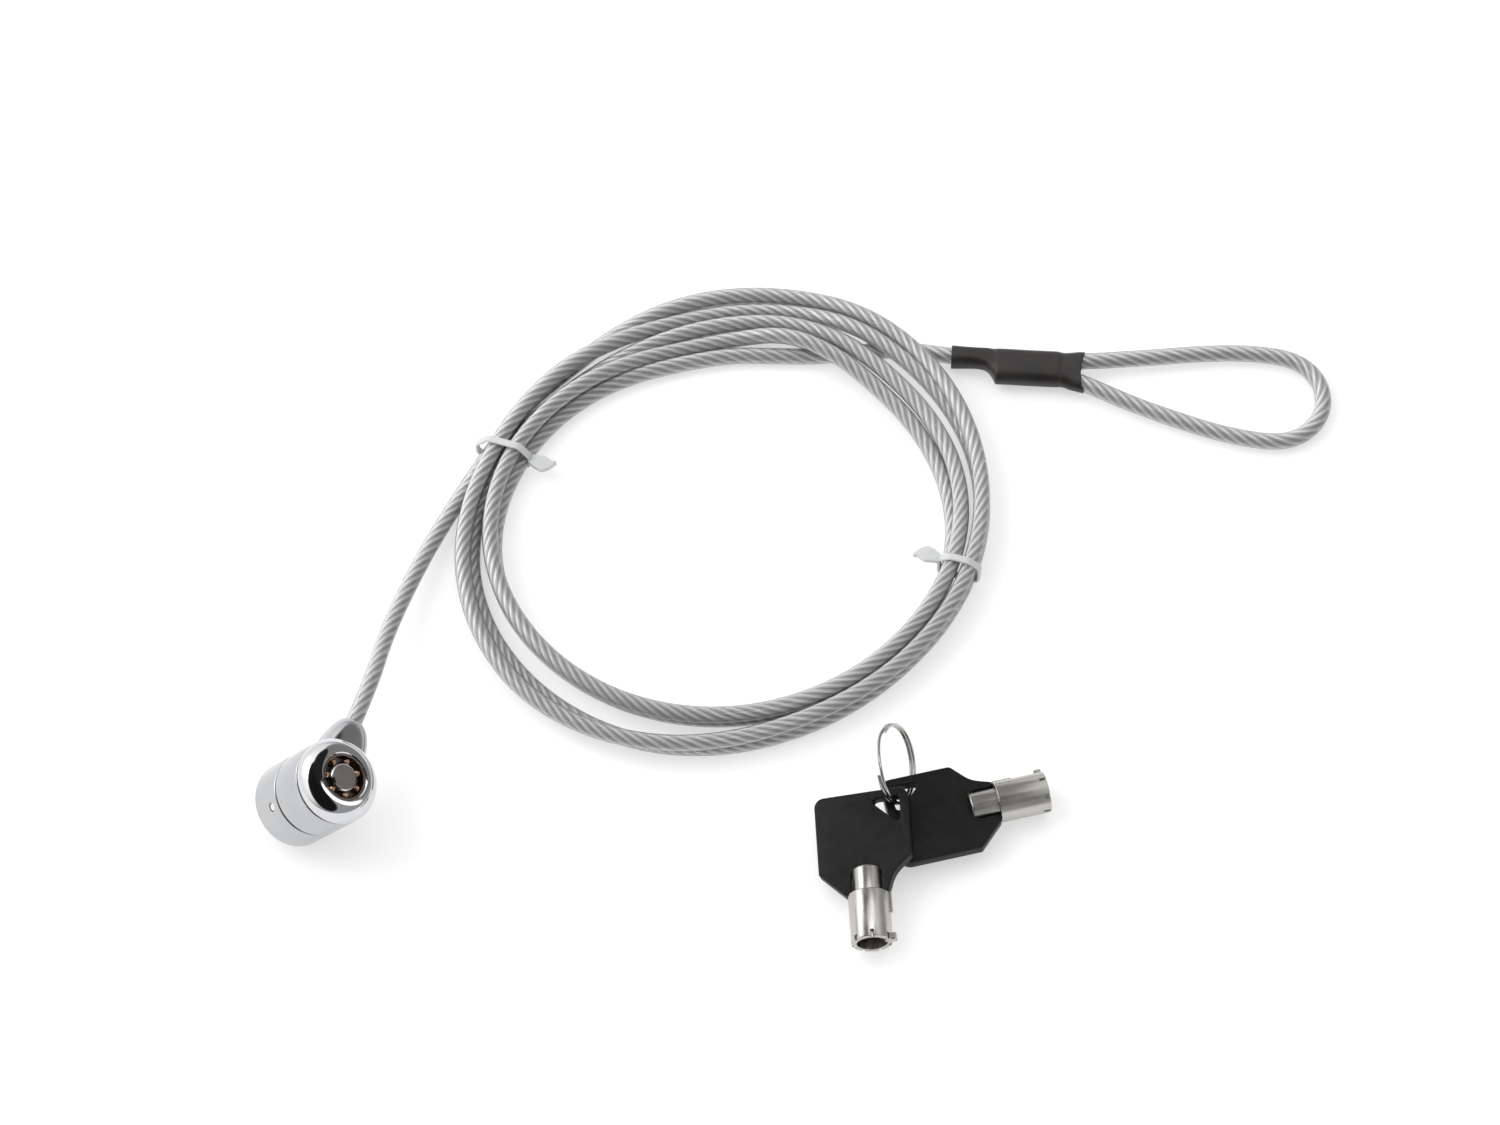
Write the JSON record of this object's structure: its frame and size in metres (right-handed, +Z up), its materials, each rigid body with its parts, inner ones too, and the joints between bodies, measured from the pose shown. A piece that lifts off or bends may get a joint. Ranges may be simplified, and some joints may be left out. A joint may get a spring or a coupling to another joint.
{
  "type": "laptop cable lock",
  "caption": "Laptop cable lock: round swivel head with tubular keyway and T-bar, coiled clear-jacketed steel cable with crimped end loop, and tubular keys on a split ring.",
  "frame": {"origin": "on the surface the lock lies on, under the middle of the box round the head, the keys and the split ring; the coiled cable lies behind it at +Y", "axes": "+Z up from that surface; +X from the lock head towards the keys; +Y towards the coiled cable"},
  "size_m": [0.2567, 0.1812, 0.0298],
  "materials": {
    "mirror_chrome": "polished chrome plate",
    "satin_chrome": "satin chrome plate",
    "nickel": "nickel plate",
    "bare_steel": "turned",
    "brass": "turned",
    "black_zinc": "dark plated, satin",
    "rubber_pad": "matt",
    "cable_jacket": "clear jacket over steel rope",
    "shrink_sleeve": "satin",
    "tie_nylon": "translucent natural nylon",
    "black_bow": "fine matt moulding",
    "nylon_washer": "moulded"
  },
  "bodies": {
    "cable_collar": {"swivel_ring": "satin_chrome", "cable_stop": "bare_steel", "cable_lead": "cable_jacket", "cable_coil": "cable_jacket", "cable_tail": "cable_jacket", "crimp_ferrule": "bare_steel", "heat_shrink": "shrink_sleeve", "cable_loop": "cable_jacket", "tie_1": "tie_nylon", "tie_2": "tie_nylon"},
    "head": {"front_shell": "mirror_chrome", "keyway_liner": "black_zinc", "rear_shell": "satin_chrome", "retaining_pin": "bare_steel", "bushing_pin": "bare_steel", "pin_bushing": "brass", "driver_pins": "brass", "pin_springs": "bare_steel", "thrust_washer": "bare_steel", "slot_guide": "bare_steel", "face_pad": "rubber_pad", "swivel_washer": "nylon_washer"},
    "rotor": {"rotor": "black_zinc", "spindle": "bare_steel", "t_bar": "bare_steel", "t_bar_pin": "bare_steel", "spindle_clip": "bare_steel"},
    "key_pin_1": {"key_pin_1": "brass"},
    "key_pin_2": {"key_pin_2": "brass"},
    "key_pin_3": {"key_pin_3": "brass"},
    "key_pin_4": {"key_pin_4": "brass"},
    "key_pin_5": {"key_pin_5": "brass"},
    "key_pin_6": {"key_pin_6": "brass"},
    "key_pin_7": {"key_pin_7": "brass"},
    "key_ring": {"split_ring": "nickel"},
    "key_1": {"key_1_bow": "black_bow", "key_1_barrel": "nickel"},
    "key_2": {"key_2_bow": "black_bow", "key_2_barrel": "nickel"}
  },
  "joints": [
    {"name": "head_swivel", "type": "hinge", "parent": "cable_collar", "child": "head", "pos_m": [-0.0846, 0.0095, 0.00556], "axis": [0.5522, -0.1326, 0.8231], "continuous": true},
    {"name": "rotor_turn", "type": "hinge", "parent": "head", "child": "rotor", "pos_m": [-0.0846, 0.0095, 0.00556], "axis": [0.5522, -0.1326, 0.8231], "range_deg": [0, 90]},
    {"name": "key_pin_1_press", "type": "slide", "parent": "rotor", "child": "key_pin_1", "axis": [-0.5522, 0.1326, -0.8231], "range_m": [0, 0.001], "stiffness_N_per_m": 200, "springref_m": -0.002},
    {"name": "key_pin_2_press", "type": "slide", "parent": "rotor", "child": "key_pin_2", "axis": [-0.5522, 0.1326, -0.8231], "range_m": [0, 0.0016], "stiffness_N_per_m": 200, "springref_m": -0.002},
    {"name": "key_pin_3_press", "type": "slide", "parent": "rotor", "child": "key_pin_3", "axis": [-0.5522, 0.1326, -0.8231], "range_m": [0, 0.0008], "stiffness_N_per_m": 200, "springref_m": -0.002},
    {"name": "key_pin_4_press", "type": "slide", "parent": "rotor", "child": "key_pin_4", "axis": [-0.5522, 0.1326, -0.8231], "range_m": [0, 0.0019], "stiffness_N_per_m": 200, "springref_m": -0.002},
    {"name": "key_pin_5_press", "type": "slide", "parent": "rotor", "child": "key_pin_5", "axis": [-0.5522, 0.1326, -0.8231], "range_m": [0, 0.0012], "stiffness_N_per_m": 200, "springref_m": -0.002},
    {"name": "key_pin_6_press", "type": "slide", "parent": "rotor", "child": "key_pin_6", "axis": [-0.5522, 0.1326, -0.8231], "range_m": [0, 0.0017], "stiffness_N_per_m": 200, "springref_m": -0.002},
    {"name": "key_pin_7_press", "type": "slide", "parent": "rotor", "child": "key_pin_7", "axis": [-0.5522, 0.1326, -0.8231], "range_m": [0, 0.0014], "stiffness_N_per_m": 200, "springref_m": -0.002},
    {"name": "keys_lift", "type": "slide", "parent": "cable_collar", "child": "key_ring", "axis": [0, 0, 1], "range_m": [0, 0.04]},
    {"name": "key_1_swing", "type": "hinge", "parent": "key_ring", "child": "key_1", "pos_m": [0.05633, 0.01737, 0.01097], "axis": [0.8918, -0.1342, 0.4321], "range_deg": [-90, 0]},
    {"name": "key_2_swing", "type": "hinge", "parent": "key_ring", "child": "key_2", "pos_m": [0.05633, 0.01737, 0.01097], "axis": [0.8918, -0.1342, 0.4321], "range_deg": [0, 60]}
  ]
}
